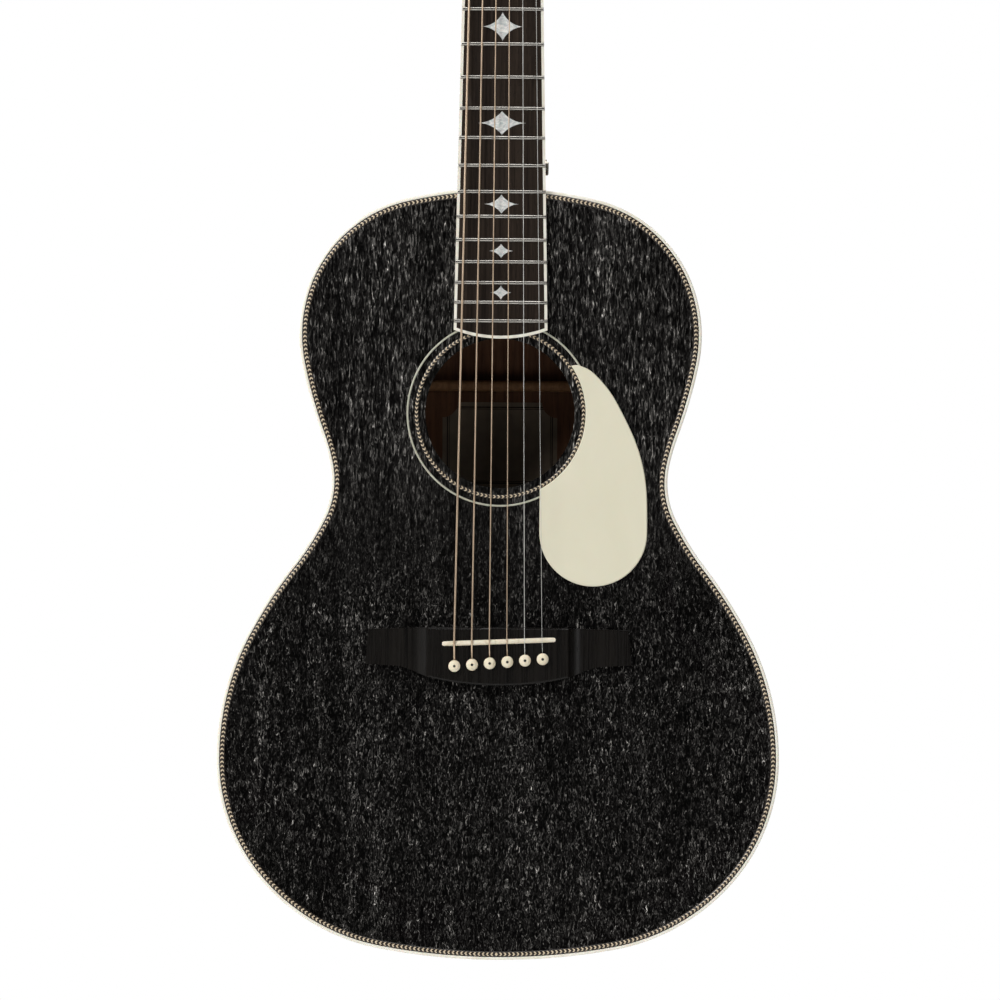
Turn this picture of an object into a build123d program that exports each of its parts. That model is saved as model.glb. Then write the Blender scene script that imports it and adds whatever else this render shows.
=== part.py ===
from build123d import *
import math
import os

# Steel-string acoustic guitar, millimetres.
# Origin: the seat of the tail strap button, on the centre line at the tail end of the body.
# +Z runs up the neck, the soundboard faces -Y, and +X is the treble side.

# ---- Driving dimensions ---------------------------------------------------
SCALE_LENGTH = 628.0
BODY_FRET = 14              # the fret that stands just inside the end of the body
FRET_COUNT = 20
NECK_END = 490.4            # height of the body's edge, inside the binding, at the neck
BINDING = 2.0               # width of the binding, and thickness of the sides
BINDING_DEPTH = 6.0
TOP_FACE = -52.0            # front face of the soundboard
TOP_THICK = 2.8
TAIL_DEPTH = 104.0          # body depth at the tail and at the neck
HEEL_DEPTH = 88.0
BACK_RADIUS = 4572.0        # the back is part of a ball
BACK_THICK = 2.6
BODY_TOP = NECK_END + BINDING
TOP_INSIDE = TOP_FACE + TOP_THICK
BACK_AT_TAIL = TOP_FACE + TAIL_DEPTH
BACK_AT_HEEL = TOP_FACE + HEEL_DEPTH
FAR = 70.0                  # a depth well behind the back

# Half outline of the body from the neck end round to the tail: radius and turn in degrees of
# each tangent arc; a negative pair bends inward. One more arc closes it at the tail.
BODY_ARCS = (
    (259.0, 13.5), (85.0, 55.9), (90.0, 32.0), (302.0, 8.8),
    (-142.0, -8.1), (-55.0, -38.9), (-189.0, -11.0),
    (299.0, 9.1), (169.0, 29.2), (116.0, 41.5), (130.0, 37.6),
)
TAIL_END = 1.73             # height at which the tail is drawn; the parts are saved with it at zero

PURFLING = 3.4
PURFLING_DEPTH = 1.8
HOLE_Z = 349.2
HOLE_RADIUS = 47.5
ROSETTE_RINGS = ((51.9, 54.3), (58.2, 59.4))
ROSETTE_DEPTH = 1.2
LINING_WIDTH = 6.0
LINING_HEIGHT = 12.0
INSIDE = -LINING_WIDTH - 0.2        # outline offset that the braces stop at

PICKGUARD_THICK = 1.2

FRETBOARD_THICK = 6.0
FRETBOARD_TOP = TOP_FACE - FRETBOARD_THICK
CAMBER = 406.4
NUT_SHIFT = 0.8                     # the body fret lies this far below the body's upper end
NUT_Z = NECK_END - NUT_SHIFT + SCALE_LENGTH * (1 - 2 ** (-BODY_FRET / 12))
NUT_LENGTH = 5.0
NUT_WIDTH = 43.2
LAST_FRET_WIDTH = 59.3
FRETBOARD_END = 396.5
END_RADIUS = 84.0
EDGE_BINDING = 1.8
FRET_WIDTH = 2.4
FRET_HEIGHT = 1.1
TANG_DEPTH = 1.8
TANG_WIDTH = 0.6
MARKERS = {3: (23, 17), 5: (23, 17), 7: (24, 17), 9: (25, 18), 12: (31, 15),
           15: (22, 12), 17: (15, 9), 19: (13, 9)}
MARKER_DEPTH = 1.0
DOT_RADIUS = 1.1

HEAD_TILT = 14.0
HEAD_LENGTH = 172.0
HEAD_THICK = 15.0
VENEER = 2.0
HEAD_ORIGIN = (0, TOP_FACE - VENEER, NUT_Z + NUT_LENGTH)
HEAD = Plane(
    origin=HEAD_ORIGIN, x_dir=(1, 0, 0),
    z_dir=(0, -math.cos(math.radians(HEAD_TILT)), math.sin(math.radians(HEAD_TILT))),
)

BRIDGE_HALF = 84.0
BRIDGE_HEIGHT = 9.5
BRIDGE_TOP = TOP_FACE - BRIDGE_HEIGHT
WING_HEIGHT = 3.5
BLOCK_HALF = 44.2           # the raised middle of the bridge
SCOOP_END = 54.4
SADDLE_CENTRE = (0.25, 204.3)
SADDLE_LENGTH = 72.0
SADDLE_WIDTH = 3.2
SADDLE_SLANT = 2.4
SADDLE_TOP = -63.9
SADDLE_SEAT = BRIDGE_TOP + 6.0

STRING_RADII = (0.15, 0.205, 0.305, 0.405, 0.535, 0.675)    # first string to sixth
PLAIN_COUNT = 2
NUT_SPREAD = 17.5           # centre line to an outer string
NUT_SEAT = FRETBOARD_TOP - 1.5
SADDLE_FIRST = 27.6
SADDLE_PITCH = 11.12
PIN_FIRST = (28.1, 193.5)
PIN_PITCH = (11.18, 0.94)
PIN_TOP_RADIUS = 2.6
PIN_TAPER = 0.022           # shrinkage of the radius for each millimetre down
PIN_LENGTH = 24.0
PIN_GAP = 0.06
PIN_HEAD_RADIUS = 3.75
PIN_HEAD_SEAT = BRIDGE_TOP - 0.75
PIN_DOT_RADIUS = 0.85
STRING_IN_PIN = 1.6         # from the pin's axis to its string
PLATE_THICK = 3.0
PLATE_INSIDE = TOP_INSIDE + PLATE_THICK
BALL_RADIUS = 2.0
BALL_OFFSET = 4.8

ROD_Y = -46.0
ROD_RADIUS = 2.4
ROD_GAP = 0.06

POST_STATIONS = (38.0, 79.0, 120.0)     # up the head from the nut
POST_X = (19.5, 21.5, 23.5)
POST_RADIUS = 3.0
WAIST_RADIUS = 2.6
POST_TOP = 9.5
FIT = 0.06                  # radial clearance of a turning fit
WRAP_GAP = 0.1
WRAP_START = 2.9
PLATE_BACK = -HEAD_THICK - 1.2
GEAR_TEETH = 14
GEAR_PITCH_RADIUS = 6.0
GEAR_TOP_RADIUS = 6.15
GEAR_ROOT_RADIUS = 4.9
GEAR_FRONT = -17.2
GEAR_BACK = -20.7
WORM_OFFSET = 7.9
WORM_AXIS = (GEAR_FRONT + GEAR_BACK) / 2
WORM_CORE = 1.85
WORM_THROW = 0.45
WORM_PITCH = 2 * math.pi * GEAR_PITCH_RADIUS / GEAR_TEETH
KEY_RADIUS = 1.6
EAR_AT = 6.8
EAR_THICK = 1.2


# ---- Helpers --------------------------------------------------------------
def slab(profile, front, back):
    """Extrude a profile drawn in x and z from the depth front to the depth back."""
    return extrude(Plane.XZ.offset(-front) * profile, amount=front - back)


def block(x_range, y_range, z_range):
    """Box between the given limits."""
    lows, highs = zip(x_range, y_range, z_range)
    sizes = [high - low for low, high in zip(lows, highs)]
    middle = [(high + low) / 2 for low, high in zip(lows, highs)]
    return Pos(*middle) * Box(*sizes)


def rod(start, end, radius):
    """Cylinder from one point to another."""
    direction = Vector(*end) - Vector(*start)
    return extrude(Plane(origin=start, z_dir=direction) * Circle(radius), amount=direction.length)


def disc(x, z, radius, front, back):
    """Cylinder along the depth of the guitar."""
    return slab(Pos(x, z) * Circle(radius), front, back)


def turned(points, axis):
    """Solid of revolution of a closed polygon given as (radius, height) about the local z axis."""
    profile = make_face(Polyline(*[(r, 0, h) for r, h in points], close=True))
    return axis * revolve(profile, Axis.Z)


def bent_path(points, radii):
    """Straight runs through the points, with a tangent arc of each radius at the bends."""
    edges = []
    start = Vector(*points[0])
    for before, corner, after, radius in zip(points, points[1:], points[2:], radii):
        corner = Vector(*corner)
        back = (Vector(*before) - corner).normalized()
        ahead = (Vector(*after) - corner).normalized()
        half = math.radians(back.get_angle(ahead)) / 2
        trim = radius / math.tan(half)
        middle = corner + (back + ahead).normalized() * (radius / math.sin(half) - radius)
        edges.append(Edge.make_line(start, corner + back * trim))
        edges.append(Edge.make_three_point_arc(corner + back * trim, middle, corner + ahead * trim))
        start = corner + ahead * trim
    edges.append(Edge.make_line(start, Vector(*points[-1])))
    return Wire(edges)


def tube(points, radii, radius):
    """Round bar along a bent path."""
    path = bent_path(points, radii)
    direction = Vector(*points[1]) - Vector(*points[0])
    return sweep(Plane(origin=points[0], z_dir=direction) * Circle(radius), path=path)


def joined(shapes):
    """Union of a list of solids."""
    return shapes[0].fuse(*shapes[1:]) if len(shapes) > 1 else shapes[0]


def save(name, *shapes):
    """Write one node, made of one or more separate solids."""
    solids = [Pos(0, 0, -TAIL_END) * solid for shape in shapes for solid in shape.solids()]
    node = solids[0] if len(solids) == 1 else Compound(children=solids)
    node.label = name
    export_step(node, f"parts/{name}.step")


# ---- Body outline and shell -------------------------------------------------
def body_outline(grow):
    """The body's outline in x and z, moved outward by grow."""
    edges = []
    x, z, heading = 0.0, NECK_END + grow, 0.0
    for radius, turn in BODY_ARCS + ((None, None),):
        nx, nz = -math.sin(heading), -math.cos(heading)
        if radius is None:
            reach = -x / nx
            turn_angle = math.pi - heading
        else:
            reach = radius + grow
            turn_angle = math.radians(turn)
        cx, cz = x + nx * reach, z + nz * reach
        points = []
        for share in (0.0, 0.5, 1.0):
            angle = heading + turn_angle * share
            points.append((cx + math.sin(angle) * reach, cz + math.cos(angle) * reach))
        edges.append(Edge.make_three_point_arc(*[Vector(px, pz) for px, pz in points]))
        x, z = points[2]
        heading += turn_angle
    mirrored = [edge.mirror(Plane.YZ) for edge in edges]
    return make_face(edges + mirrored)


def form(grow, front=TOP_FACE, back=FAR):
    """Solid of the body's outline between two depths."""
    return slab(body_outline(grow), front, back)


def ring(inner, outer, front=TOP_FACE, back=FAR):
    """Solid between two parallel outlines of the body."""
    return form(outer, front, back) - form(inner, front, back)


def back_ball(radius):
    """Ball whose surface, at the full radius, is the outside of the back."""
    run, rise = BODY_TOP, BACK_AT_HEEL - BACK_AT_TAIL
    chord = math.hypot(run, rise)
    reach = math.sqrt(BACK_RADIUS ** 2 - (chord / 2) ** 2)
    centre_y = (BACK_AT_TAIL + BACK_AT_HEEL) / 2 - reach * run / chord
    centre_z = BODY_TOP / 2 + reach * rise / chord
    return Pos(0, centre_y, centre_z) * Sphere(radius)


def back_depth(z):
    """Depth of the outside of the back on the centre line."""
    run, rise = BODY_TOP, BACK_AT_HEEL - BACK_AT_TAIL
    chord = math.hypot(run, rise)
    reach = math.sqrt(BACK_RADIUS ** 2 - (chord / 2) ** 2)
    centre_y = (BACK_AT_TAIL + BACK_AT_HEEL) / 2 - reach * run / chord
    centre_z = BODY_TOP / 2 + reach * rise / chord
    return centre_y + math.sqrt(BACK_RADIUS ** 2 - (z - centre_z) ** 2)


def dovetail():
    """The tongue of the neck that enters the neck block."""
    wide, narrow, low, high = 13.0, 9.0, 473.0, 495.0
    profile = make_face(Polyline((-wide, low), (wide, low), (narrow, high), (-narrow, high), close=True))
    return slab(profile, TOP_FACE, 20.0)


# ---- Neck and fretboard -----------------------------------------------------
def fret_z(number):
    """Height of a fret."""
    return NUT_Z - SCALE_LENGTH * (1 - 2 ** (-number / 12))


def board_half(z):
    """Half width of the fretboard at a height."""
    share = (NUT_Z - z) / (NUT_Z - fret_z(FRET_COUNT))
    return (NUT_WIDTH + (LAST_FRET_WIDTH - NUT_WIDTH) * share) / 2


def camber_round(radius, low, high):
    """Long cylinder whose front is the curved playing surface, at the full radius."""
    return Pos(0, FRETBOARD_TOP + CAMBER, (low + high) / 2) * Cylinder(radius, high - low)


def board_form(inset):
    """Fretboard, or what lies inside its binding, with a bowed lower end."""
    low = FRETBOARD_END - 5
    corners = [(-board_half(low) + inset, low), (board_half(low) - inset, low),
               (board_half(NUT_Z) - inset, NUT_Z), (-board_half(NUT_Z) + inset, NUT_Z)]
    profile = make_face(Polyline(*corners, close=True))
    waste = Pos(0, low + 10) * Rectangle(80, 20) - Pos(0, FRETBOARD_END + END_RADIUS) * Circle(END_RADIUS - inset)
    solid = slab(profile - waste, FRETBOARD_TOP - 2, TOP_FACE)
    return solid & camber_round(CAMBER, low - 5, NUT_Z + 5)


def tang(number):
    """The blade of a fret, sunk in the fretboard."""
    z = fret_z(number)
    half = board_half(z) - EDGE_BINDING - 0.3
    blade = block((-half, half), (FRETBOARD_TOP - 1, FRETBOARD_TOP + TANG_DEPTH),
                  (z - TANG_WIDTH / 2, z + TANG_WIDTH / 2))
    return blade & camber_round(CAMBER, z - 3, z + 3)


def fret(number):
    """Fret with a rounded crown, bevelled ends and a tang."""
    z = fret_z(number)
    half = board_half(z) - 0.1
    crown = make_face([
        Edge.make_line((0, FRETBOARD_TOP, z - FRET_WIDTH / 2), (0, FRETBOARD_TOP, z + FRET_WIDTH / 2)),
        Edge.make_three_point_arc((0, FRETBOARD_TOP, z + FRET_WIDTH / 2), (0, FRETBOARD_TOP - FRET_HEIGHT, z),
                                  (0, FRETBOARD_TOP, z - FRET_WIDTH / 2)),
    ])
    axis = Axis((0, FRETBOARD_TOP + CAMBER, 0), (0, 0, 1))
    sweep_angle = math.degrees(math.asin((half + 2) / CAMBER))
    bow = revolve(crown.rotate(axis, -sweep_angle), axis, 2 * sweep_angle)
    ends = Polyline((-half, FRETBOARD_TOP + 2), (half, FRETBOARD_TOP + 2), (half, FRETBOARD_TOP + 0.4),
                    (half - 1.3, FRETBOARD_TOP - 2), (-half + 1.3, FRETBOARD_TOP - 2),
                    (-half, FRETBOARD_TOP + 0.4), close=True)
    trim = Pos(0, 0, z - 2) * extrude(make_face(ends), amount=4)
    return (bow & trim) + tang(number)


def marker(number):
    """Inlay between two frets: a lozenge with hollowed sides."""
    width, height = MARKERS[number]
    z = (fret_z(number) + fret_z(number - 1)) / 2
    tips = [(width / 2, 0), (0, height / 2), (-width / 2, 0), (0, -height / 2)]
    edges = []
    for start, end in zip(tips, tips[1:] + tips[:1]):
        middle = ((start[0] + end[0]) * 0.36, (start[1] + end[1]) * 0.36)
        edges.append(Edge.make_three_point_arc(Vector(*start), Vector(*middle), Vector(*end)))
    profile = Pos(0, z) * make_face(edges)
    return slab(profile, FRETBOARD_TOP - 1, FRETBOARD_TOP + MARKER_DEPTH) & camber_round(CAMBER, z - 20, z + 20)


def side_dots():
    """Position dots in the bass edge of the fretboard."""
    dots = []
    for number, offsets in ((3, (0,)), (5, (0,)), (7, (0,)), (9, (0,)), (12, (-4, 4))):
        for offset in offsets:
            z = (fret_z(number) + fret_z(number - 1)) / 2 + offset
            edge = -board_half(z)
            dots.append(rod((edge - 0.5, FRETBOARD_TOP + 3, z), (edge + 1.2, FRETBOARD_TOP + 3, z), DOT_RADIUS))
    return dots


def neck_shaft():
    """Rounded shaft of the neck, from inside the body to inside the head."""
    sections = []
    for z, depth in ((470.0, 17.5), (600.0, 16.8), (720.0, 16.0), (NUT_Z, 14.8), (NUT_Z + 12, 14.8)):
        half = board_half(min(z, NUT_Z)) - 0.05
        plane = Plane(origin=(0, TOP_FACE, z), x_dir=(1, 0, 0), z_dir=(0, 0, 1))
        arc = EllipticalCenterArc((0, 0), half, depth, start_angle=0, arc_size=180)
        sections.append(plane * make_face(arc.edges() + Line((-half, 0), (half, 0)).edges()))
    return loft(sections)


def heel():
    """Heel of the neck, narrowing towards the back of the body."""
    sections = []
    for y, half, length in ((-41, 27.0, 70), (-33, 25.2, 50), (-18, 22.2, 37), (4, 18.2, 29.5),
                            (BACK_AT_HEEL - 1.5, 12.5, 23)):
        plane = Plane(origin=(0, y, 489), x_dir=(1, 0, 0), z_dir=(0, -1, 0))
        arc = EllipticalCenterArc((0, 0), half, length, start_angle=0, arc_size=180)
        sections.append(plane * make_face(arc.edges() + Line((-half, 0), (half, 0)).edges()))
    return loft(sections)


def heel_cap():
    """Thin plate that closes the end of the heel."""
    plane = Plane(origin=(0, BACK_AT_HEEL - 1.5, 489), x_dir=(1, 0, 0), z_dir=(0, 1, 0))
    arc = EllipticalCenterArc((0, 0), 12.5, 23, start_angle=180, arc_size=180)
    plate = extrude(plane * make_face(arc.edges() + Line((-12.5, 0), (12.5, 0)).edges()), amount=1.5)
    return plate - form(BINDING)


def head_profile():
    """Front outline of the head: a waist above the nut, straight flared sides and a bowed crest."""
    half = NUT_WIDTH / 2
    edges = []
    for side in (1, -1):
        edges.append(Edge.make_line((0, -8), (side * half, -8)))
        edges.append(Edge.make_line((side * half, -8), (side * half, 2)))
        edges.append(Edge.make_spline([(side * half, 2), (side * 29.5, 19)],
                                      tangents=[(0, 1), (side * 0.25, 1)], scale=True))
        edges.append(Edge.make_line((side * 29.5, 19), (side * 36, HEAD_LENGTH - 6)))
    edges.append(Edge.make_three_point_arc((36, HEAD_LENGTH - 6), (0, HEAD_LENGTH), (-36, HEAD_LENGTH - 6)))
    return make_face(edges)


def head_slab(front, back):
    """Slice of the head between two heights over its front face."""
    return HEAD * Pos(0, 0, back) * extrude(head_profile(), amount=front - back)


def rod_pocket():
    """Opening in the head for the truss-rod nut."""
    return block((-6, 6), (-62, -41.4), (NUT_Z + NUT_LENGTH + 1.8, NUT_Z + 33))


def build_neck():
    """Shaft, heel, dovetail and head in one piece of wood."""
    channel = block((-ROD_RADIUS, ROD_RADIUS), (TOP_FACE - 1, ROD_Y), (500, NUT_Z + 8))
    channel += rod((0, ROD_Y, 500), (0, ROD_Y, NUT_Z + 8), ROD_RADIUS)
    shaft = neck_shaft() - HEAD * Pos(0, 20, -VENEER + 20) * Box(90, 80, 40)
    wood = shaft + heel() + head_slab(-VENEER, -HEAD_THICK)
    wood -= block((-40, 40), (-80, TOP_FACE), (480, NUT_Z + NUT_LENGTH))
    wood = wood - form(BINDING) + dovetail()
    return wood - channel - rod_pocket()


def truss_cover():
    """Cover over the truss-rod nut."""
    outline = make_face([
        Edge.make_three_point_arc((-13, 2.5), (0, 1.2), (13, 2.5)),
        Edge.make_spline([(13, 2.5), (8.5, 24), (0, 44)], tangents=[(0, 1), (-0.3, 1), (-1, 0)]),
        Edge.make_spline([(0, 44), (-8.5, 24), (-13, 2.5)], tangents=[(-1, 0), (-0.3, -1), (0, -1)]),
    ])
    return HEAD * extrude(outline, amount=1.6)


COVER_SCREWS = ((-9.3, 7), (9.3, 7), (0, 38.5))


def dome_screw(plane, head_radius, dome, shank_radius, shank):
    """Screw with a domed, slotted head, standing on the plane."""
    body = turned([(0, -shank), (shank_radius, -shank + 1.5), (shank_radius, 0), (head_radius, 0),
                   (head_radius * 0.94, dome * 0.45), (head_radius * 0.6, dome * 0.85), (0, dome)], Pos(0, 0, 0))
    slot = Pos(0, 0, dome) * Box(head_radius * 3, head_radius * 0.25, dome * 0.8)
    return plane * (body - slot)


# ---- Strings, pins and bridge ----------------------------------------------
def pin_centre(number):
    """Pin of a string, 1 to 6, as x and z."""
    return PIN_FIRST[0] - PIN_PITCH[0] * (number - 1), PIN_FIRST[1] - PIN_PITCH[1] * (number - 1)


def pin_shaft(extra, top, bottom):
    """Tapered shaft or hole, from the depth top to the depth bottom."""
    upper = PIN_TOP_RADIUS - PIN_TAPER * (top - PIN_HEAD_SEAT) + extra
    lower = PIN_TOP_RADIUS - PIN_TAPER * (bottom - PIN_HEAD_SEAT) + extra
    return turned([(0, -bottom), (lower, -bottom), (upper, -top), (0, -top)], Rot(90, 0, 0))


def pin_hole(number):
    """Tapered hole for a pin through the bridge, the soundboard and the bridge plate."""
    x, z = pin_centre(number)
    return Pos(x, 0, z) * pin_shaft(PIN_GAP, BRIDGE_TOP - 1, PLATE_INSIDE + 1)


def bridge_pin(number):
    """Pin with a domed head, a string groove and an inlaid dot."""
    x, z = pin_centre(number)
    shaft = pin_shaft(0.0, PIN_HEAD_SEAT, PIN_HEAD_SEAT + PIN_LENGTH)
    seat = -PIN_HEAD_SEAT
    head = turned([(0, seat), (PIN_HEAD_RADIUS - 0.4, seat), (PIN_HEAD_RADIUS, seat + 0.4),
                   (PIN_HEAD_RADIUS, seat + 1.1), (PIN_HEAD_RADIUS - 0.5, seat + 2.0),
                   (PIN_HEAD_RADIUS - 1.6, seat + 2.8), (0, seat + 3.2)], Rot(90, 0, 0))
    groove = block((-0.8, 0.8), (PIN_HEAD_SEAT, PIN_HEAD_SEAT + 40), (0.8, 5))
    dot_place = disc(0, 0, PIN_DOT_RADIUS, PIN_HEAD_SEAT - 4, PIN_HEAD_SEAT - 2.4)
    pin = shaft + head - groove
    dot = pin & dot_place
    return Pos(x, 0, z) * (pin - dot_place), Pos(x, 0, z) * dot


def string_ramp(number):
    """Slot in the bridge that leads a string from its pin towards the saddle."""
    x, z = pin_centre(number)
    profile = make_face(Polyline((0, BRIDGE_TOP - 1, z), (0, BRIDGE_TOP + 2.2, z), (0, BRIDGE_TOP + 2.2, z + 1.8),
                                 (0, BRIDGE_TOP - 0.02, z + 7.6), (0, BRIDGE_TOP - 1, z + 7.6), close=True))
    return Pos(x, 0, 0) * extrude(profile, amount=0.8, dir=(1, 0, 0), both=True)


def saddle_plane():
    """Middle of the saddle, turned to its slant."""
    return Pos(SADDLE_CENTRE[0], 0, SADDLE_CENTRE[1]) * Rot(0, -SADDLE_SLANT, 0)


def saddle_z(x):
    """Height of the saddle's crown line at a given x."""
    return SADDLE_CENTRE[1] + (x - SADDLE_CENTRE[0]) * math.tan(math.radians(SADDLE_SLANT))


def saddle_slot(front):
    """Round-ended bar from the depth front down to the floor of the saddle slot."""
    return saddle_plane() * slab(SlotOverall(SADDLE_LENGTH, SADDLE_WIDTH), front, SADDLE_SEAT)


def build_saddle():
    """Bone saddle with a cambered, rounded crown."""
    half = SADDLE_WIDTH / 2
    section = make_face([
        Edge.make_line((0, SADDLE_TOP + half, -half), (0, SADDLE_SEAT + 4, -half)),
        Edge.make_line((0, SADDLE_SEAT + 4, -half), (0, SADDLE_SEAT + 4, half)),
        Edge.make_line((0, SADDLE_SEAT + 4, half), (0, SADDLE_TOP + half, half)),
        Edge.make_three_point_arc((0, SADDLE_TOP + half, half), (0, SADDLE_TOP, 0), (0, SADDLE_TOP + half, -half)),
    ])
    axis = Axis((0, SADDLE_TOP + CAMBER, 0), (0, 0, 1))
    bow = revolve(section.rotate(axis, -6), axis, 12)
    return saddle_plane() * bow & saddle_slot(SADDLE_TOP - 1)


def build_bridge():
    """Bridge: raised middle with the saddle slot, scooped shoulders, thin wings and a belly."""
    flare = 1.8
    edges = [
        Edge.make_three_point_arc((-BRIDGE_HALF + flare, 211.8), (0, 213.4), (BRIDGE_HALF - flare, 211.8)),
        Edge.make_three_point_arc((BRIDGE_HALF - flare, 211.8), (BRIDGE_HALF - 0.4, 201), (BRIDGE_HALF, 189.6)),
        Edge.make_line((BRIDGE_HALF, 189.6), (66, 188.6)),
        Edge.make_spline([(66, 188.6), (49, 183.3), (27, 178.3), (0, 176.5), (-27, 178.3), (-49, 183.3), (-66, 188.6)],
                         tangents=[(-1, -0.06), (-1, 0.06)]),
        Edge.make_line((-66, 188.6), (-BRIDGE_HALF, 189.6)),
        Edge.make_three_point_arc((-BRIDGE_HALF, 189.6), (-BRIDGE_HALF + 0.4, 201), (-BRIDGE_HALF + flare, 211.8)),
    ]
    bridge = slab(make_face(edges), BRIDGE_TOP, TOP_FACE)
    rise = BRIDGE_HEIGHT - WING_HEIGHT
    run = SCOOP_END - BLOCK_HALF
    scoop_radius = (run ** 2 + rise ** 2) / (2 * rise)
    wing_top = TOP_FACE - WING_HEIGHT
    for side in (1, -1):
        x = side * SCOOP_END
        bridge -= rod((x, wing_top - scoop_radius, 160), (x, wing_top - scoop_radius, 230), scoop_radius)
        bridge -= block(sorted((x, side * 100)), (BRIDGE_TOP - 1, wing_top), (160, 230))
    crown = [edge for edge in bridge.edges().filter_by_position(Axis.Y, BRIDGE_TOP - 0.01, BRIDGE_TOP + 0.01)
             if abs(edge.center().X) < 5]
    bridge = fillet(crown, 1.2)
    for number in range(1, 7):
        bridge -= string_ramp(number)
        bridge -= pin_hole(number)
    return bridge - saddle_slot(BRIDGE_TOP - 5)


def string_points(number):
    """Corner points of a string from its ball end to its tuner, with the bend radii."""
    radius = STRING_RADII[number - 1]
    pin_x, pin_z = pin_centre(number)
    rise_z = pin_z + STRING_IN_PIN
    ball_y = PLATE_INSIDE + BALL_RADIUS
    saddle_x = SADDLE_FIRST - SADDLE_PITCH * (number - 1)
    nut_x = NUT_SPREAD - NUT_SPREAD * 2 / 5 * (number - 1)
    saddle_y = SADDLE_TOP + saddle_x ** 2 / (2 * CAMBER) - radius - 0.03
    nut_y = NUT_SEAT + nut_x ** 2 / (2 * CAMBER) - radius
    side, station = post_place(number)
    post_x = side * (POST_X[station] - WAIST_RADIUS - WRAP_GAP - radius)
    end = HEAD.from_local_coords((post_x, POST_STATIONS[station], WRAP_START + radius))
    points = [
        (pin_x, ball_y, pin_z + BALL_OFFSET - BALL_RADIUS),
        (pin_x, ball_y, rise_z),
        (pin_x, BRIDGE_TOP + 0.9, rise_z),
        (saddle_x, saddle_y, saddle_z(saddle_x)),
        (nut_x, nut_y, NUT_Z + 1.2),
        tuple(end),
    ]
    return points, (1.0, 1.2, SADDLE_WIDTH / 2 + radius, 4.0)


def build_string(number):
    """String with its straight runs and the windings round the tuner post."""
    radius = STRING_RADII[number - 1]
    points, bends = string_points(number)
    side, station = post_place(number)
    inner = WAIST_RADIUS + WRAP_GAP
    wraps = turned([(inner, WRAP_START), (inner + 2 * radius, WRAP_START),
                    (inner + 2 * radius, WRAP_START + 6.4 * radius), (inner, WRAP_START + 6.4 * radius)],
                   HEAD * Pos(side * POST_X[station], POST_STATIONS[station], 0))
    return tube(points, bends, radius) + wraps


def string_room(number):
    """The groove that a string needs in the nut."""
    points, _ = string_points(number)
    radius = STRING_RADII[number - 1] + 0.04
    corner, before, after = Vector(*points[4]), Vector(*points[3]), Vector(*points[5])
    low = corner + (before - corner).normalized() * 12
    high = corner + (after - corner).normalized() * 12
    return rod(tuple(low), tuple(corner), radius) + rod(tuple(corner), tuple(high), radius) \
        + Pos(*corner) * Sphere(radius)


def build_nut():
    """Bone nut, cambered, falling away behind its crown, with a groove for each string."""
    half = NUT_WIDTH / 2
    crown = NUT_SEAT - 0.45
    blank = block((-half, half), (crown - 3, TOP_FACE), (NUT_Z, NUT_Z + NUT_LENGTH))
    blank &= Pos(0, crown + CAMBER, NUT_Z + 2) * Cylinder(CAMBER, 12)
    fall = math.radians(HEAD_TILT + 2)
    wedge = make_face(Polyline((0, crown - 2, NUT_Z + 1.2), (0, crown, NUT_Z + 1.2),
                               (0, crown + 5 * math.tan(fall), NUT_Z + 6.2), (0, crown - 2, NUT_Z + 6.2), close=True))
    blank -= Pos(-30, 0, 0) * extrude(wedge, amount=60, dir=(1, 0, 0))
    for number in range(1, 7):
        blank -= string_room(number)
    return blank


def ball_end(number):
    """Ball that holds a string under the bridge plate."""
    x, z = pin_centre(number)
    y, z = PLATE_INSIDE + BALL_RADIUS, z + BALL_OFFSET
    return rod((x - 1.7, y, z), (x + 1.7, y, z), BALL_RADIUS)


# ---- Tuners -----------------------------------------------------------------
def post_place(number):
    """Side of the head, +1 treble or -1 bass, and station of a string's tuner."""
    return (1, number - 1) if number <= 3 else (-1, 6 - number)


def tuner_origin(number):
    """Local frame of a tuner on the treble side: post axis at the front face of the head."""
    _, station = post_place(number)
    return HEAD * Pos(POST_X[station], POST_STATIONS[station], 0)


def placed(number, shape):
    """Put a part of a treble tuner in its place, mirrored for the bass side."""
    side, _ = post_place(number)
    shape = tuner_origin(number) * shape
    return shape if side > 0 else shape.mirror(Plane.YZ)


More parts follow.
